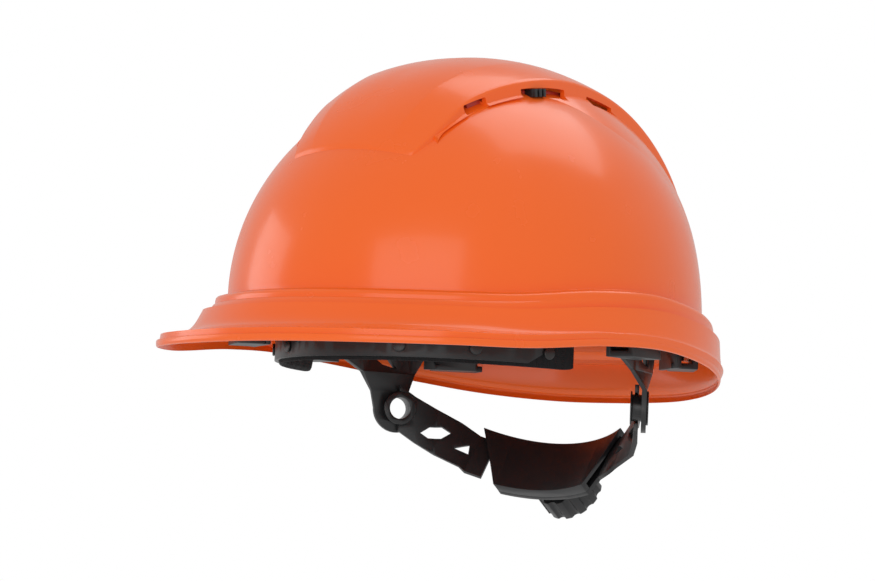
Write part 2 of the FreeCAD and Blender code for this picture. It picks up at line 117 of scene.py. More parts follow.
def new_object(name: str, points: np.ndarray,
               faces: Sequence[tuple[int, ...]]) -> bpy.types.Object:
    """Make a smooth mesh object with outward faces.

    Args:
        name: Name of the object and its mesh.
        points: Corner points in millimetres.
        faces: Corner numbers of every face.

    Returns:
        The object, linked to the scene.
    """
    mesh = bpy.data.meshes.new(name)
    mesh.from_pydata([tuple(p) for p in np.asarray(points) * MM], [], list(faces))
    mesh.validate()
    made = bmesh.new()
    made.from_mesh(mesh)
    bmesh.ops.recalc_face_normals(made, faces=made.faces)
    made.to_mesh(mesh)
    made.free()
    obj = bpy.data.objects.new(name, mesh)
    bpy.context.collection.objects.link(obj)
    for polygon in mesh.polygons:
        polygon.use_smooth = True
    LOG.info("%s: %d faces", name, len(mesh.polygons))
    return obj


def apply_modifiers(obj: bpy.types.Object) -> None:
    """Bake an object's modifiers into its mesh."""
    graph = bpy.context.evaluated_depsgraph_get()
    baked = bpy.data.meshes.new_from_object(obj.evaluated_get(graph))
    obj.modifiers.clear()
    obj.data = baked


def bevelled(obj: bpy.types.Object, width: float, segments: int, angle: float) -> None:
    """Round the sharp edges of an object.

    Args:
        obj: The object to change.
        width: Width of the rounding in millimetres.
        segments: Steps across the rounding.
        angle: Smallest edge angle to round, in degrees.
    """
    modifier = obj.modifiers.new("round", "BEVEL")
    modifier.width = width * MM
    modifier.segments = segments
    modifier.limit_method = "ANGLE"
    modifier.angle_limit = math.radians(angle)
    modifier.use_clamp_overlap = True
    apply_modifiers(obj)


def join(objects: Sequence[bpy.types.Object], name: str) -> bpy.types.Object:
    """Join several objects into the first.

    Args:
        objects: The objects, of which the first one stays.
        name: New name of the result.

    Returns:
        The joined object.
    """
    bpy.ops.object.select_all(action="DESELECT")
    for obj in objects:
        obj.select_set(True)
    bpy.context.view_layer.objects.active = objects[0]
    bpy.ops.object.join()
    objects[0].name = name
    return objects[0]


def shade_by_angle(obj: bpy.types.Object, degrees: float) -> None:
    """Smooth shading with hard edges above an angle."""
    mesh = obj.data
    for polygon in mesh.polygons:
        polygon.use_smooth = True
    mesh.set_sharp_from_angle(angle=math.radians(degrees))


# ---------------------------------------------------------------- finishes


def group_socket(tree: bpy.types.NodeTree, name: str, out: bool, kind: str,
                 value: float | None = None) -> None:
    """Add one socket to a node group.

    Args:
        tree: The node group.
        name: Name of the socket.
        out: Whether it is an output.
        kind: Socket type.
        value: Default value, if it needs one.
    """
    side = "OUTPUT" if out else "INPUT"
    socket = tree.interface.new_socket(name=name, in_out=side, socket_type=kind)
    if value is not None:
        socket.default_value = value


class Effects:
    """Node groups shared by the finishes."""

    def __init__(self) -> None:
        """Build every group once."""
        self.grain = self._build_grain()
        self.weave = self._build_weave()
        self.tint = self._build_tint()

    @staticmethod
    def _start(name: str) -> tuple[bpy.types.NodeTree, bpy.types.Node, bpy.types.Node]:
        """Empty group with its input and output nodes."""
        tree = bpy.data.node_groups.new(name, "ShaderNodeTree")
        group_socket(tree, "Vector", False, "NodeSocketVector")
        return tree, tree.nodes.new("NodeGroupInput"), tree.nodes.new("NodeGroupOutput")

    def _build_grain(self) -> bpy.types.NodeTree:
        """Fine moulded grain: a height and a roughness that varies a little."""
        tree, inp, out = self._start("moulded_grain")
        group_socket(tree, "Scale", False, "NodeSocketFloat", 900.0)
        group_socket(tree, "Rough low", False, "NodeSocketFloat", 0.3)
        group_socket(tree, "Rough high", False, "NodeSocketFloat", 0.4)
        group_socket(tree, "Height", True, "NodeSocketFloat")
        group_socket(tree, "Roughness", True, "NodeSocketFloat")
        fine = tree.nodes.new("ShaderNodeTexNoise")
        fine.inputs["Detail"].default_value = 3.0
        broad = tree.nodes.new("ShaderNodeTexNoise")
        broad.inputs["Scale"].default_value = 38.0
        broad.inputs["Detail"].default_value = 4.0
        spread = tree.nodes.new("ShaderNodeMapRange")
        link = tree.links.new
        link(inp.outputs["Vector"], fine.inputs["Vector"])
        link(inp.outputs["Scale"], fine.inputs["Scale"])
        link(inp.outputs["Vector"], broad.inputs["Vector"])
        link(broad.outputs["Fac"], spread.inputs["Value"])
        spread.inputs["From Min"].default_value = 0.35
        spread.inputs["From Max"].default_value = 0.68
        link(inp.outputs["Rough low"], spread.inputs["To Min"])
        link(inp.outputs["Rough high"], spread.inputs["To Max"])
        link(fine.outputs["Fac"], out.inputs["Height"])
        link(spread.outputs["Result"], out.inputs["Roughness"])
        return tree

    def _build_weave(self) -> bpy.types.NodeTree:
        """Crossed threads: a height."""
        tree, inp, out = self._start("woven_threads")
        group_socket(tree, "Scale", False, "NodeSocketFloat", 400.0)
        group_socket(tree, "Height", True, "NodeSocketFloat")
        waves = []
        for axis in ("X", "Y", "Z"):
            wave = tree.nodes.new("ShaderNodeTexWave")
            wave.wave_type = "BANDS"
            wave.bands_direction = axis
            wave.inputs["Distortion"].default_value = 1.2
            wave.inputs["Detail"].default_value = 1.0
            tree.links.new(inp.outputs["Vector"], wave.inputs["Vector"])
            tree.links.new(inp.outputs["Scale"], wave.inputs["Scale"])
            waves.append(wave)
        total = waves[0].outputs["Fac"]
        for wave in waves[1:]:
            mix = tree.nodes.new("ShaderNodeMath")
            mix.operation = "MAXIMUM"
            tree.links.new(total, mix.inputs[0])
            tree.links.new(wave.outputs["Fac"], mix.inputs[1])
            total = mix.outputs["Value"]
        tree.links.new(total, out.inputs["Height"])
        return tree

    def _build_tint(self) -> bpy.types.NodeTree:
        """Slow drift between two close colours."""
        tree, inp, out = self._start("colour_drift")
        group_socket(tree, "Scale", False, "NodeSocketFloat", 14.0)
        group_socket(tree, "Dark", False, "NodeSocketColor")
        group_socket(tree, "Light", False, "NodeSocketColor")
        group_socket(tree, "Color", True, "NodeSocketColor")
        noise = tree.nodes.new("ShaderNodeTexNoise")
        noise.inputs["Detail"].default_value = 2.0
        mix = tree.nodes.new("ShaderNodeMix")
        mix.data_type = "RGBA"
        link = tree.links.new
        link(inp.outputs["Vector"], noise.inputs["Vector"])
        link(inp.outputs["Scale"], noise.inputs["Scale"])
        link(noise.outputs["Fac"], mix.inputs["Factor"])
        link(inp.outputs["Dark"], mix.inputs["A"])
        link(inp.outputs["Light"], mix.inputs["B"])
        link(mix.outputs["Result"], out.inputs["Color"])
        return tree


class Texture(Enum):
    """Kind of surface relief."""

    GRAIN = "grain"
    WEAVE = "weave"


@dataclass(frozen=True)
class Finish:
    """One surface finish."""

    name: str
    colour: tuple[float, float, float]
    rough: tuple[float, float] = (0.3, 0.4)
    drift: float = 0.06
    coat: float = 0.0
    coat_rough: float = 0.1
    specular: float = 0.5
    metal: float = 0.0
    subsurface: float = 0.0
    texture: Texture = Texture.GRAIN
    scale: float = 900.0
    bump: float = 0.02
    depth: float = 0.0002

    def build(self, effects: Effects) -> bpy.types.Material:
        """Make the material.

        Args:
            effects: The shared node groups.

        Returns:
            A node material.
        """
        material = bpy.data.materials.new(self.name)
        material.use_nodes = True
        tree = material.node_tree
        shader = tree.nodes["Principled BSDF"]
        coords = tree.nodes.new("ShaderNodeTexCoord").outputs["Object"]
        relief = tree.nodes.new("ShaderNodeGroup")
        relief.node_tree = effects.grain
        tint = tree.nodes.new("ShaderNodeGroup")
        tint.node_tree = effects.tint
        bump = tree.nodes.new("ShaderNodeBump")
        link = tree.links.new
        for node in (relief, tint):
            link(coords, node.inputs["Vector"])
        relief.inputs["Scale"].default_value = self.scale
        relief.inputs["Rough low"].default_value = self.rough[0]
        relief.inputs["Rough high"].default_value = self.rough[1]
        for socket, change in (("Dark", -self.drift), ("Light", self.drift)):
            shade = [min(1.0, c * (1 + change)) for c in self.colour]
            tint.inputs[socket].default_value = (*shade, 1.0)
        link(tint.outputs["Color"], shader.inputs["Base Color"])
        link(relief.outputs["Roughness"], shader.inputs["Roughness"])
        height = relief.outputs["Height"]
        if self.texture is Texture.WEAVE:
            weave = tree.nodes.new("ShaderNodeGroup")
            weave.node_tree = effects.weave
            weave.inputs["Scale"].default_value = self.scale
            link(coords, weave.inputs["Vector"])
            height = weave.outputs["Height"]
        link(height, bump.inputs["Height"])
        bump.inputs["Strength"].default_value = self.bump
        bump.inputs["Distance"].default_value = self.depth
        link(bump.outputs["Normal"], shader.inputs["Normal"])
        shader.inputs["Metallic"].default_value = self.metal
        shader.inputs["Coat Weight"].default_value = self.coat
        shader.inputs["Coat Roughness"].default_value = self.coat_rough
        shader.inputs["Specular IOR Level"].default_value = self.specular
        shader.inputs["Subsurface Weight"].default_value = self.subsurface
        shader.inputs["Subsurface Scale"].default_value = 0.002
        return material


FINISHES = {
    "shell": Finish("orange_shell", (0.92, 0.135, 0.013), (0.2, 0.28), 0.02, 0.12, 0.08,
                    specular=0.4, bump=0.02),
    "vent_shutter": Finish("red_shutter", (0.46, 0.035, 0.02), (0.3, 0.42), bump=0.06),
    "vent_knob": Finish("black_knob", (0.012, 0.012, 0.013), (0.28, 0.4), bump=0.08),
    "vent_guide": Finish("rust_guide", (0.5, 0.08, 0.02), (0.35, 0.5), bump=0.06),
    "harness_plastic": Finish("black_harness", (0.014, 0.014, 0.015), (0.3, 0.42), bump=0.1),
    "cradle_plastic": Finish("black_key", (0.014, 0.014, 0.015), (0.36, 0.48), bump=0.1),
    "bush": Finish("black_bush", (0.016, 0.016, 0.017), (0.26, 0.34), bump=0.05),
    "sweatband": Finish("black_pad", (0.010, 0.010, 0.011), (0.75, 0.95), 0.25, specular=0.3,
                        texture=Texture.WEAVE, scale=330.0, bump=0.6, depth=0.0005),
    "stud": Finish("black_stud", (0.02, 0.02, 0.02), (0.25, 0.34), bump=0.04),
    "ratchet_plastic": Finish("black_ratchet", (0.013, 0.013, 0.014), (0.28, 0.4), bump=0.1),
    "axle_steel": Finish("steel_pin", (0.52, 0.52, 0.53), (0.25, 0.4), metal=1.0, bump=0.05),
    "webbing": Finish("black_webbing", (0.018, 0.018, 0.02), (0.7, 0.9), 0.2, specular=0.3,
                      texture=Texture.WEAVE, scale=420.0, bump=0.5, depth=0.0004),
}


class Wardrobe:
    """Materials by slot, made once each."""

    def __init__(self) -> None:
        """Build the shared effects and every finish."""
        effects = Effects()
        self.by_slot = {slot: finish.build(effects) for slot, finish in FINISHES.items()}
        entries = frame["record"]["subparts"]
        self.slot_of = {entry["node"]: entry["material_slot"] for entry in entries}

    def dress(self, obj: bpy.types.Object, slot: str) -> None:
        """Give an object the finish of a slot."""
        obj.data.materials.clear()
        obj.data.materials.append(self.by_slot[slot])

    def repaint_nodes(self) -> None:
        """Swap the material in the slots of every frame node."""
        for name, node in frame["nodes"].items():
            for slot in node.material_slots:
                slot.material = self.by_slot[self.slot_of[name]]


# ---------------------------------------------------------------- shell


@dataclass
class ShellSkin:
    """Moulded shell: dome, belt step, skirt, rain lip, brim, crest and key sockets."""

    dome_a: float = 98.0
    ratio: float = 1.2
    belt_z: float = 25.0
    dome_h: float = 103.4
    wall: float = 2.5
    skirt_a: float = 103.1
    round_exponents: tuple[float, float] = (1.93, 2.2)
    hole: tuple[float, float] = (36.0, 76.0)
    columns: int = 360
    dome_rows: int = 60
    dome_end: float = 0.012
    settle_top: float = 75.0
    lip_inset: float = 0.8
    lip_top: float = 3.2
    skirt_top: float = 21.0
    fold_reach: float = 0.25
    fold_power: float = 1.7
    sweep_power: float = 1.2
    under_start: int = 4
    search_reach: float = 150.0
    search_steps: int = 40
    flare_shares: tuple = (0, 0.03, 0.06, 0.09, 0.12, 0.15, 0.18, 0.21, 0.24, 0.28, 0.32, 0.37,
                           0.43, 0.5, 0.58, 0.67, 0.77, 0.87, 0.95)
    step_line: tuple = ((98.15, 25.25), (98.6, 24.9), (99.6, 24.65), (101.2, 24.45),
                        (102.2, 24.1), (102.8, 23.4), (103.05, 22.4))
    rim_line: tuple = ((-0.65, 3.25), (-0.25, 3.1), (0.0, 2.6), (0.05, 1.6), (-0.05, 0.6),
                       (-0.4, 0.12), (-0.9, 0.0))
    back_line: tuple = ((100.5, 17.5), (100.2, 19.4), (98.2, 21.2), (96.0, 22.6), (95.55, 24.2))
    edge_table: tuple = ((-90, 124.6), (-78, 125.6), (-66, 126.8), (-56, 127.6), (-48, 126.4),
                         (-38, 121.5), (-26, 114.0), (-14, 109.0), (-2, 107.2), (10, 107.0),
                         (90, 107.0))
    rim_table: tuple = ((-90, -0.4), (-50, -0.4), (-38, 0.2), (-16, 4.6), (0, 5.5), (15, 3.0),
                        (38, -2.5), (50, -5.6), (70, -8.6), (90, -9.2))
    fold_table: tuple = ((-90, 7.6), (-74, 7.6), (-50, 6.6), (-33, 5.3), (-19, 5.3), (0, 7.2),
                         (30, 8.0), (90, 8.0))

    @staticmethod
    def _side_angle(theta: np.ndarray) -> np.ndarray:
        """Angle in degrees from -90 at the front to 90 at the back, the same on both sides."""
        return np.degrees(np.arcsin(np.clip(np.sin(theta), -1, 1)))

    def exponent(self, theta: np.ndarray) -> np.ndarray:
        """How square the dome section is: rounder at the front, fuller at the back."""
        front, back = self.round_exponents
        return 0.5 * (front + back) + 0.5 * (back - front) * np.sin(theta)

    def settle(self, points: np.ndarray) -> np.ndarray:
        """Arch the rim: raise it over the ears and lower it at the nape."""
        theta = np.arctan2(points[..., 1] / self.ratio, points[..., 0])
        lift = smooth_lookup(self.rim_table, self._side_angle(theta))
        fade = np.clip((self.settle_top - points[..., 2]) / (self.settle_top - self.belt_z), 0, 1)
        out = points.copy()
        out[..., 2] += lift * fade**2 * (3 - 2 * fade)
        return out

    def _flare(self, theta: np.ndarray, inset: float) -> np.ndarray:
        """Skirt and brim from under the belt to the edge.

        Args:
            theta: Angles round the shell.
            inset: Distance to move the rows along their normal.

        Returns:
            Rows of (radius, height).
        """
        degrees = self._side_angle(theta)
        edge = smooth_lookup(self.edge_table, degrees)
        fold = smooth_lookup(self.fold_table, degrees)
        x = np.array(self.flare_shares)[:, None]
        reach = edge - self.lip_inset - self.skirt_a
        radius = self.skirt_a + reach * x
        drop = np.exp(-((x / self.fold_reach) ** self.fold_power))
        height = (self.lip_top + (fold - self.lip_top) * (1 - x) ** self.sweep_power
                  + (self.skirt_top - fold) * drop)
        slope_r = np.gradient(radius, axis=0)
        slope_z = np.gradient(height, axis=0)
        length = np.hypot(slope_r, slope_z)
        return np.stack([radius + inset * slope_z / length, height - inset * slope_r / length])

    @staticmethod
    def _ring_rows(line: Sequence[tuple[float, float]], base: np.ndarray) -> np.ndarray:
        """Rows that follow a (radius, height) line, with the radii added to a base radius."""
        radii = np.array([base + r for r, _ in line])
        heights = np.array([np.full_like(base, z) for _, z in line])
        return np.stack([radii, heights])

    def _section(self, theta: np.ndarray) -> np.ndarray:
        """Closed wall section at every angle.

        Args:
            theta: Angles round the shell.

        Returns:
            Rows of (radius, height).
        """
        n = self.exponent(theta)
        half_x, half_y = self.hole
        hole = (np.abs(np.cos(theta) / half_x) ** 3
                + np.abs(self.ratio * np.sin(theta) / half_y) ** 3) ** (-1 / 3)
        start = np.arccos(np.clip((hole / self.dome_a) ** (n / 2), 0, 1))
        share = np.linspace(1, self.dome_end, self.dome_rows)[:, None]
        phi = start * share
        ca = np.cos(phi) ** (2 / n)
        sa = np.sin(phi) ** (2 / n)
        dome = np.stack([self.dome_a * ca, self.belt_z + self.dome_h * sa])
        inner = np.stack([(self.dome_a - self.wall) * ca,
                          self.belt_z + (self.dome_h - self.wall) * sa])
        axis = np.zeros_like(theta)
        edge = smooth_lookup(self.edge_table, self._side_angle(theta))
        belt = self._ring_rows(self.step_line, axis)
        flare = self._flare(theta, 0.0)
        lip = self._ring_rows(self.rim_line, edge)
        under = self._flare(theta, -self.wall)[:, self.under_start:][:, ::-1]
        rise = self._ring_rows(self.back_line, axis)
        return np.concatenate([dome, belt, flare, lip, under, rise, inner[:, ::-1]], axis=1)

    def build_bowl(self) -> bpy.types.Object:
        """Dome, step, skirt and brim as one closed wall, open under the crest."""
        theta = np.linspace(-math.pi, math.pi, self.columns, endpoint=False)
        radius, height = self._section(theta)
        points = np.stack([radius * np.cos(theta), radius * self.ratio * np.sin(theta), height],
                          axis=-1)
        rows, cols = height.shape
        faces = grid_faces(rows, cols, True, True)
        return new_object("shell_bowl", self.settle(points).reshape(-1, 3), faces)

    def ray_to_dome(self, x: np.ndarray, psi: np.ndarray) -> np.ndarray:
        """Distance from the crest centre line to the dome.

        Args:
            x: Sideways offsets.
            psi: Tilts from the vertical, forward negative.

        Returns:
            The distance for every pair.
        """
        low = np.zeros_like(x)
        high = np.full_like(x, self.search_reach)
        for _ in range(self.search_steps):
            mid = 0.5 * (low + high)
            y = mid * np.sin(psi)
            z = np.maximum(mid * np.cos(psi), 0.0)
            n = self.exponent(np.arctan2(y / self.ratio, x))
            value = (np.hypot(x, y / self.ratio) / self.dome_a) ** n + (z / self.dome_h) ** n
            inside = value < 1.0
            low = np.where(inside, mid, low)
            high = np.where(inside, high, mid)
        return low


@dataclass
class Crest:
    """Raised band over the crown, with walls, windows and a rear band that flares out."""

    skin: ShellSkin
    wall: float = 2.3
    edge_round: float = 1.0
    rows: int = 150
    front: float = -58.5
    half_table: tuple = ((-60, 30.0), (-56, 32.3), (-52, 34.8), (-42, 38.2), (-33, 39.8),
                         (-27, 41.4), (-17, 43.6), (-8, 45.0), (20, 45.4), (50, 48.0), (92, 51.0))
    rise_table: tuple = ((-60, -5.0), (-56.6, -0.9), (-55.8, 0.3), (-53, 2.0), (-48, 3.9),
                         (-42, 5.4), (-33, 7.0), (-25, 7.7), (-15, 8.0), (-5, 8.2), (15, 8.4),
                         (30, 8.8), (50, 8.0), (70, 6.0), (92, 4.8))
    drop_table: tuple = ((-60, 0.0), (-56, 0.1), (-50, 1.1), (-42, 1.4), (-33, 1.0), (-25, 1.0),
                         (-15, 0.7), (-5, 0.2), (5, 0.0), (92, 0.0))
    flare_table: tuple = ((-60, 0.8), (-8, 0.8), (-3, 3.5), (3.4, 12.0), (10.6, 20.0), (35, 26.0),
                          (60, 28.0), (92, 30.0))
    shelf_table: tuple = ((-60, -0.7), (-10, -0.7), (-4, 0.1), (1, 1.0), (10, 2.8), (35, 3.8),
                          (92, 3.0))
    crease: float = 0.62
    top_shares: tuple = (*np.linspace(0, 0.6, 9), 0.62, *np.linspace(0.64, 0.955, 6))
    edge_turns: tuple = (20, 42, 66, 88)
    wall_shares: tuple = (0.12, 0.3, 0.5, 0.7, 0.88, 1.0)
    wall_slope: float = 0.5
    flare_shares: tuple = (0.04, 0.12, 0.3, 0.5, 0.7, 0.9, 1.0)
    flare_sink: float = 0.8
    ridge_height: float = 0.8
    vent_axis: tuple[float, float] = (3.4, -35.6)
    vent_r: float = 155.0
    windows: tuple = ((-21.3, 2.6), (-4.95, 5.55), (10.3, 3.5))
    window_h: float = 4.4
    cad_half: float = 45.0

    def inset_at(self, y: float, z: float) -> float:
        """How far the crest wall lies inside its widest place, at a point of its side."""
        tilt = math.degrees(math.atan2(y, z - self.skin.belt_z))
        return self.cad_half - float(smooth_lookup(self.half_table, np.array([tilt]))[0])

    def _columns(self, psi: np.ndarray) -> tuple[np.ndarray, np.ndarray]:
        """Half of every row across the crest.

        Args:
            psi: Tilt of every row.

        Returns:
            Sideways positions and heights over the dome.
        """
        degrees = np.degrees(psi)
        half = smooth_lookup(self.half_table, degrees)
        rise = smooth_lookup(self.rise_table, degrees)
        flare = smooth_lookup(self.flare_table, degrees)
        shelf = smooth_lookup(self.shelf_table, degrees)
        drop = smooth_lookup(self.drop_table, degrees)
        shelf = np.minimum(shelf, np.maximum(rise - 0.5, 0.0))
        sharp = np.clip((24.0 - degrees) / 40.0, 0, 1) * np.clip((degrees + 56.0) / 14.0, 0, 1)
        xs, hs = [], []
        for share in self.top_shares:
            run = 1 - self.crease if share > self.crease else self.crease
            ridge = 1.0 - abs(share - self.crease) / run
            xs.append(half * share)
            outer = max(0.0, (share - self.crease) / (1 - self.crease))
            hs.append(rise + self.ridge_height * sharp * (ridge - 0.6) - drop * outer)
        last = hs[-1]
        for turn in np.radians(self.edge_turns):
            xs.append(half - self.edge_round * (1 - math.sin(turn)))
            hs.append(last - self.edge_round * (1 - math.cos(turn)))
        for share in self.wall_shares:
            xs.append(half + self.wall_slope * share)
            hs.append((last - self.edge_round) * (1 - share) + shelf * share)
        for share in self.flare_shares:
            xs.append(half + self.wall_slope + flare * share)
            hs.append(shelf * (1 - share) ** 0.9 - self.flare_sink * share)
        xs.append(half + 0.6 + flare * 1.02)
        hs.append(np.full_like(half, -1.6))
        return np.array(xs), np.array(hs)

    def build_skin(self) -> bpy.types.Object:
        """Crest skin with thickness."""
        psi = np.radians(np.linspace(self.front, 90.5, self.rows))
        xs, hs = self._columns(psi)
        xs = np.concatenate([-xs[:0:-1], xs])
        hs = np.concatenate([hs[:0:-1], hs])
        tilt = np.broadcast_to(psi, xs.shape)
        rho = self.skin.ray_to_dome(np.abs(xs), tilt) + hs
        z = self.skin.belt_z + rho * np.cos(tilt)
        points = np.stack([xs, rho * np.sin(tilt), z], axis=-1)
        rows, cols = xs.shape
        made = new_object("shell_crest", self.skin.settle(points).reshape(-1, 3),
                          grid_faces(rows, cols, False, False))
        centre = made.data.polygons[len(made.data.polygons) // 2]
        if centre.normal.z < 0:
            made.data.flip_normals()
        shell = made.modifiers.new("wall", "SOLIDIFY")
        shell.thickness = self.wall * MM
        shell.offset = -1.0
        shell.use_even_offset = False
        apply_modifiers(made)
        return made

    def window_cutter(self, side: int, centre: float, half: float) -> bpy.types.Object:
        """Rounded block that cuts one window.

        Args:
            side: 1 for the wearer's left, -1 for the right.
            centre: Middle of the window along the vent arc, in degrees.
            half: Half length of the window, in degrees.

        Returns:
            The cutter.
        """
        rings = []
        cy, cz = self.vent_axis
        middle = math.radians(centre)
        wall = self.cad_half - self.inset_at(cy + self.vent_r * math.sin(middle),
                                             cz + self.vent_r * math.cos(middle))
        for x in (wall - 5.5, wall + 5.0):
            ring = []
            for a in np.linspace(centre - half, centre + half, 8):
                ring.append((a, self.vent_r + self.window_h / 2))
            for a in np.linspace(centre + half, centre - half, 8):
                ring.append((a, self.vent_r - self.window_h / 2))
            rings.append([(side * x, cy + r * math.sin(math.radians(a)),
                           cz + r * math.cos(math.radians(a))) for a, r in ring])
        count = len(rings[0])
        faces = [(i, (i + 1) % count, count + (i + 1) % count, count + i) for i in range(count)]
        faces += [tuple(range(count)), tuple(range(2 * count - 1, count - 1, -1))]
        made = new_object("window_cutter", np.array(rings[0] + rings[1]), faces)
        bevelled(made, 0.7, 3, 40.0)
        return made

    def build(self) -> bpy.types.Object:
        """Crest with its windows cut."""
        skin = self.build_skin()
        cutters = [self.window_cutter(side, centre, half)
                   for side in (1, -1) for centre, half in self.windows]
        cutter = join(cutters, "window_cutters")
        modifier = skin.modifiers.new("windows", "BOOLEAN")
        modifier.operation = "DIFFERENCE"
        modifier.solver = "EXACT"
        modifier.use_self = True
        modifier.object = cutter
        apply_modifiers(skin)
        bpy.data.objects.remove(cutter)
        return skin


@dataclass
class Sockets:
    """Pockets moulded on the inner wall for the cradle keys."""

    skin: ShellSkin
    size: tuple[float, float, float] = (28.0, 9.0, 15.0)
    foot_z: float = 7.0
    wall_a: float = 100.4
    cheek: float = 2.5
    bury: float = 1.2
    slot_depths: tuple[float, float] = (2.0, 5.4)
    roof: float = 2.0

    def _place(self, angle: float) -> tuple[Vector, float]:
        """Foot point and heading of one socket."""
        t = math.radians(angle)
        ratio = self.skin.ratio
        point = Vector((self.wall_a * math.cos(t), self.wall_a * ratio * math.sin(t), 0.0))
        heading = math.atan2(math.sin(t) / ratio, math.cos(t))
        return point, heading

    def build(self) -> list[bpy.types.Object]:
        """One U-shaped pocket for each key."""
        w, d, h = self.size
        inner = w / 2 - self.cheek
        near, far = (depth - d for depth in self.slot_depths)
        outline = [(-d, -w / 2), (self.bury, -w / 2), (self.bury, w / 2), (-d, w / 2),
                   (-d, inner), (-d, -inner)]
        slot = [(near, -inner), (far, -inner), (far, inner), (near, inner)]
        made = []
        for name, angle in KEY_ANGLES.items():
            point, heading = self._place(angle)
            turn = Matrix.Rotation(heading, 3, "Z")
            rings = [[turn @ Vector((x, y, 0)) + point + Vector((0, 0, z)) for x, y in loop]
                     for loop, z in ((outline, self.foot_z), (outline, self.foot_z + h),
                                     (slot, self.foot_z),
                                     (slot, self.foot_z + h - self.roof))]
            points = [p for ring in rings for p in ring]
            faces = [(i, (i + 1) % 6, 6 + (i + 1) % 6, 6 + i) for i in range(6)]
            faces += [(11, 10, 9, 8, 7, 6)]
            faces += [(12 + i, 16 + i, 16 + (i + 1) % 4, 12 + (i + 1) % 4) for i in range(4)]
            faces += [(16, 17, 18, 19)]
            faces += [(0, 5, 12), (5, 15, 12), (5, 4, 15), (4, 3, 15), (3, 2, 15), (2, 14, 15),
                      (2, 1, 14), (1, 13, 14), (1, 0, 13), (0, 12, 13)]
            pocket = new_object("socket_" + name, np.array([tuple(p) for p in points]), faces)
            bevelled(pocket, 0.5, 2, 40.0)
            made.append(pocket)
        return made


class ShellAssembly:
    """Everything moulded in one piece with the shell."""

    def build(self, wardrobe: Wardrobe) -> bpy.types.Object:
        """Build, dress and register the shell."""
        skin = ShellSkin()
        pieces = [skin.build_bowl(), Crest(skin).build(), *Sockets(skin).build()]
        shell = join(pieces, "helmet_shell")
        shade_by_angle(shell, 38.0)
        wardrobe.dress(shell, "shell")
        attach(shell, Body.HELMET.value)
        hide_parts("shell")
        return shell


# ---------------------------------------------------------------- harness


@dataclass
class RoundedParts:
    """Hard parts of the frame with their edges rounded."""

    wardrobe: Wardrobe
    crest: Crest
    widths: dict[str, float] = field(default_factory=lambda: {
        "headband": 0.45, "hanger_arm_left": 0.6, "hanger_arm_right": 0.6,
        "neck_strap_left": 0.55, "neck_strap_right": 0.55, "neck_inner_plate": 0.6,
        "neck_outer_cover": 0.6, "ratchet_housing": 0.5, "ratchet_knob": 0.7,
        "pivot_bush_left": 0.35, "pivot_bush_right": 0.35, "sweatband_studs": 0.4,
        "shutter_knob_left": 0.25, "shutter_knob_right": 0.25,
        "vent_shutter_left": 0.2, "vent_shutter_right": 0.2,
        "vent_guide_left": 0.2, "vent_guide_right": 0.2,
    })

    def __post_init__(self) -> None:
        """Add the cradle keys."""
        for name in KEY_ANGLES:
            self.widths["cradle_key_" + name] = 0.5

    def _rounded(self, name: str, width: float) -> bpy.types.Object:
        """Copy of one node with clean faces and rounded edges."""
        node = frame["nodes"][name]
        mesh = node.data.copy()
        work = bmesh.new()
        work.from_mesh(mesh)
        bmesh.ops.remove_doubles(work, verts=work.verts, dist=1e-5)
        bmesh.ops.dissolve_limit(work, angle_limit=math.radians(0.6), verts=work.verts,
                                 edges=work.edges)
        for layer in list(work.loops.layers.uv):
            work.loops.layers.uv.remove(layer)
        work.to_mesh(mesh)
        work.free()
        copy = bpy.data.objects.new(name + "_look", mesh)
        copy.matrix_world = node.matrix_world.copy()
        bpy.context.collection.objects.link(copy)
        bevelled(copy, width, 2, 35.0)
        if name.startswith(("vent_", "shutter_")):
            self._follow_crest(copy)
        shade_by_angle(copy, 40.0)
        return copy

    def _follow_crest(self, obj: bpy.types.Object) -> None:
        """Bend a vent part inwards where the crest wall narrows towards the front."""
        for vertex in obj.data.vertices:
            x, y, z = vertex.co / MM
            inset = max(0.0, self.crest.inset_at(y, z)) + 0.25
            vertex.co.x = (x - math.copysign(inset, x)) * MM

    def build(self) -> None:
        """Round and dress every listed part."""
        body_of = {node: body for body, nodes in frame["record"]["behaviour"]["bodies"].items()
                   for node in nodes}
        for name, width in self.widths.items():
            piece = self._rounded(name, width)
            self.wardrobe.dress(piece, self.wardrobe.slot_of[name])
            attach(piece, body_of[name])
            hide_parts(name)
            LOG.info("%s: %d faces", piece.name, len(piece.data.polygons))


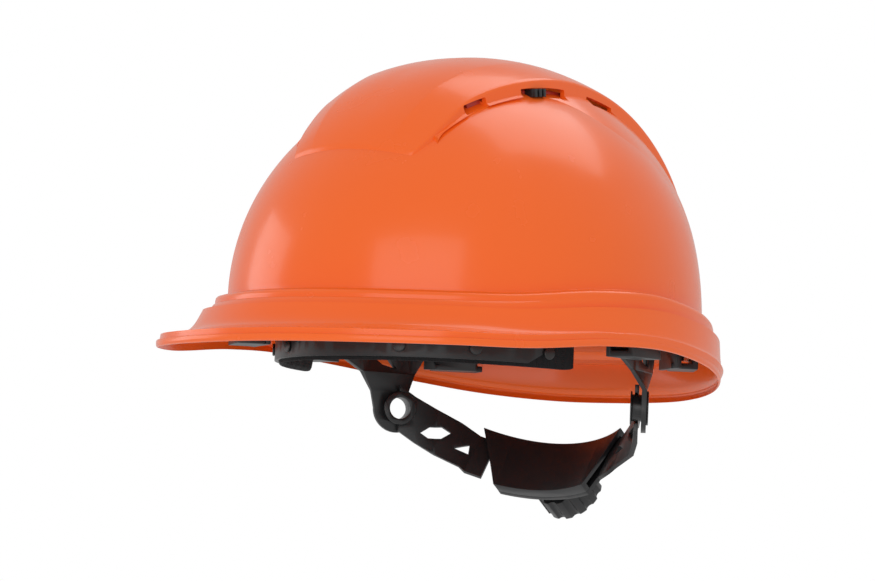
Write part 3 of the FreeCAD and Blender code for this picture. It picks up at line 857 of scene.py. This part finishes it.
@dataclass
class Sweatband:
    """Foam-backed textile band that lines the forehead."""

    half_axes: tuple[float, float] = (76.0, 96.0)
    end_y: float = -18.0
    thickness: float = 4.4
    bottom: float = -4.6
    top: float = 20.5
    end_rows: float = 7.0
    quilt: float = 0.07
    quilt_pitch: float = 0.9
    gap: float = 2.0

    def build(self, wardrobe: Wardrobe) -> bpy.types.Object:
        """Build the pad with quilting along its length."""
        a, b = self.half_axes
        limit = math.asin(self.end_y / b)
        angles = np.linspace(-math.pi - limit, limit, 220)
        profile = self._profile()
        rows = []
        total = len(angles)
        for i, t in enumerate(angles):
            normal = np.array([math.cos(t) / a, math.sin(t) / b])
            normal /= np.linalg.norm(normal)
            along = min(i, total - 1 - i) / self.end_rows
            taper = min(1.0, math.sqrt(max(0.02, 1 - (1 - min(1.0, along)) ** 2)))
            quilt = 1.0 + self.quilt * math.sin(i * self.quilt_pitch)
            row = []
            for depth, z, free in profile:
                mid = 0.5 * (self.bottom + self.top)
                out = -self.gap - (depth * quilt if free else depth) * taper
                row.append((a * math.cos(t) + normal[0] * out, b * math.sin(t) + normal[1] * out,
                            mid + (z - mid) * (0.9 + 0.1 * taper)))
            rows.append(row)
        points = np.array(rows)
        count = points.shape[1]
        faces = grid_faces(total, count, False, True)
        faces += [tuple(range(count)), tuple(range(total * count - 1, (total - 1) * count - 1, -1))]
        pad = new_object("sweatband_pad", points.reshape(-1, 3), faces)
        wardrobe.dress(pad, "sweatband")
        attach(pad, Body.HELMET.value)
        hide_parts("sweatband")
        return pad

    def _profile(self) -> list[tuple[float, float, bool]]:
        """Cross section as (depth inwards, height, padded) points."""
        out = []
        span = self.top - self.bottom
        for k in range(17):
            share = k / 16.0
            bulge = math.sin(math.pi * share) ** 0.45
            ridges = 0.3 * math.cos(share * 6 * math.pi)
            out.append((0.5 + (self.thickness - 0.5) * bulge + ridges * bulge,
                        self.bottom + span * share, True))
        out += [(0.15, self.top - 0.3, False), (0.05, 0.5 * (self.top + self.bottom), False),
                (0.15, self.bottom + 0.3, False)]
        return out


@dataclass
class CrownStraps:
    """Woven bands of the crown cradle."""

    width: float = 20.0
    thick: float = 1.0
    wall_a: float = 100.4
    ratio: float = 1.2
    low_z: float = 14.0
    crown_z: float = 101.0
    tail: float = 8.0
    key_reach: float = 13.5
    names: tuple = (("crown_strap_across", "side_left", "side_right", 0.0),
                    ("crown_strap_front_left", "front_left", "rear_right", 3.0),
                    ("crown_strap_front_right", "front_right", "rear_left", 6.0))

    def _foot(self, name: str) -> np.ndarray:
        """Foot point on the wall for one key."""
        t = math.radians(KEY_ANGLES[name])
        return np.array([self.wall_a * math.cos(t), self.wall_a * self.ratio * math.sin(t)])

    def _band(self, name: str, start: str, end: str,
              rise: float) -> tuple[bpy.types.Object, float]:
        """One band as a bowed ribbon with soft edges.

        Args:
            name: Node that the band replaces.
            start: Key at its first end.
            end: Key at its other end.
            rise: Height of its crown over the lowest band.

        Returns:
            The band and its flat length in millimetres.
        """
        p0, p1 = self._foot(start), self._foot(end)
        chord = float(np.linalg.norm(p0 - p1))
        along = (p0 - p1) / chord
        across = np.array([-along[1], along[0]])
        mid = 0.5 * (p0 + p1)
        reach = 0.5 * chord - self.key_reach
        top = self.crown_z + rise
        centre = (top**2 - reach**2 - self.low_z**2) / (2 * (top - self.low_z))
        radius = top - centre
        limit = math.acos((self.low_z - self.tail - centre) / radius)
        half = 0.5 * self.width
        section = [(-half, -0.5), (-half + 0.5, -0.12), (-half + 2.2, 0.0), (0.0, -0.02),
                   (half - 2.2, 0.0), (half - 0.5, -0.12), (half, -0.5),
                   (half - 0.5, 0.12 - self.thick), (half - 2.2, -self.thick),
                   (0.0, 0.02 - self.thick), (-half + 2.2, -self.thick),
                   (-half + 0.5, 0.12 - self.thick)]
        rows = []
        turns = np.linspace(-limit, limit, 120)
        for turn in turns:
            row = []
            for w, depth in section:
                r = radius + depth
                plan = mid + along * (r * math.sin(turn)) + across * w
                row.append((plan[0], plan[1], centre + r * math.cos(turn)))
            rows.append(row)
        count = len(section)
        faces = grid_faces(len(rows), count, False, True)
        faces += [tuple(range(count)),
                  tuple(range(len(rows) * count - 1, (len(rows) - 1) * count - 1, -1))]
        band = new_object(name + "_webbing", np.array(rows).reshape(-1, 3), faces)
        shade_by_angle(band, 60.0)
        return band, 2.0 * limit * radius

    def build(self, wardrobe: Wardrobe) -> None:
        """Build, dress and register every band."""
        for name, start, end, rise in self.names:
            band, length = self._band(name, start, end, rise)
            wardrobe.dress(band, "webbing")
            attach(band, Body.HELMET.value)
            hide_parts(name)


# ---------------------------------------------------------------- studio


@dataclass
class Studio:
    """Pale surroundings, soft light and the camera."""

    azimuth: float = 37.0
    elevation: float = -4.0
    roll: float = 2.2
    distance: float = 3.0
    span: float = 0.3889
    centre: tuple[float, float] = (-0.0118, 0.0327)
    ambient: float = 0.62
    aim: tuple[float, float, float] = (0.0, 0.0, 0.05)
    floor_half: float = 6.0
    floor_z: float = -0.6
    lights: tuple = (("key", (1.3, -2.2, 0.5), 2.2, 22.0), ("top", (0.2, 1.2, 2.2), 1.6, 14.0),
                     ("edge", (-2.0, -0.6, 0.4), 1.2, 8.0))

    def _light(self, name: str, place: tuple[float, float, float], size: float,
               power: float) -> None:
        """Soft area light aimed at the helmet.

        Args:
            name: Name of the light.
            place: Where it hangs, in metres.
            size: Side of its square, in metres.
            power: Power in watts.
        """
        data = bpy.data.lights.new(name, "AREA")
        data.shape = "RECTANGLE"
        data.size = size
        data.size_y = size
        data.energy = power
        lamp = bpy.data.objects.new(name, data)
        lamp.location = place
        lamp.rotation_euler = (Vector(self.aim) - lamp.location).to_track_quat("-Z", "Y").to_euler()
        bpy.context.collection.objects.link(lamp)

    def build(self) -> None:
        """Make the floor, the light and the camera."""
        size, low = self.floor_half, self.floor_z
        mesh = bpy.data.meshes.new("floor")
        mesh.from_pydata([(-size, -size, low), (size, -size, low), (size, size, low),
                          (-size, size, low)], [], [(0, 1, 2, 3)])
        floor = bpy.data.objects.new("floor", mesh)
        bpy.context.collection.objects.link(floor)
        paint = bpy.data.materials.new("pale_floor")
        paint.use_nodes = True
        shader = paint.node_tree.nodes["Principled BSDF"]
        shader.inputs["Base Color"].default_value = (0.9, 0.9, 0.9, 1)
        shader.inputs["Roughness"].default_value = 0.9
        mesh.materials.append(paint)
        bpy.context.scene.world = self._surroundings()
        bpy.context.scene.view_settings.view_transform = "Standard"
        for name, place, side, power in self.lights:
            self._light(name, place, side, power)
        self._camera()

    def _surroundings(self) -> bpy.types.World:
        """White backdrop that lights the object less brightly than it looks."""
        world = bpy.data.worlds.new("studio")
        world.use_nodes = True
        tree = world.node_tree
        glow = tree.nodes["Background"]
        glow.inputs["Color"].default_value = (1.0, 1.0, 1.0, 1.0)
        rays = tree.nodes.new("ShaderNodeLightPath")
        level = tree.nodes.new("ShaderNodeMapRange")
        level.inputs["To Min"].default_value = self.ambient
        level.inputs["To Max"].default_value = 1.0
        tree.links.new(rays.outputs["Is Camera Ray"], level.inputs["Value"])
        tree.links.new(level.outputs["Result"], glow.inputs["Strength"])
        return world

    def _camera(self) -> None:
        """Camera at the reference viewing angle."""
        az = math.radians(self.azimuth)
        el = math.radians(self.elevation)
        toward = Vector((math.sin(az) * math.cos(el), -math.cos(az) * math.cos(el), math.sin(el)))
        right = Vector((math.cos(az), math.sin(az), 0.0))
        up = toward.cross(right)
        turn = Matrix.Rotation(math.radians(self.roll), 3, toward)
        right, up = turn @ right, turn @ up
        data = bpy.data.cameras.new("camera")
        data.sensor_width = 36.0
        data.lens = 36.0 * self.distance / self.span
        data.clip_end = 20.0
        camera = bpy.data.objects.new("camera", data)
        axes = Matrix((right, up, toward)).transposed()
        camera.matrix_world = axes.to_4x4()
        camera.location = right * self.centre[0] + up * self.centre[1] + toward * self.distance
        bpy.context.collection.objects.link(camera)
        bpy.context.scene.camera = camera


def main() -> None:
    """Build the looks in order."""
    wardrobe = Wardrobe()
    wardrobe.repaint_nodes()
    ShellAssembly().build(wardrobe)
    RoundedParts(wardrobe, Crest(ShellSkin())).build()
    Sweatband().build(wardrobe)
    CrownStraps().build(wardrobe)
    Studio().build()


if __name__ == "__main__":
    main()
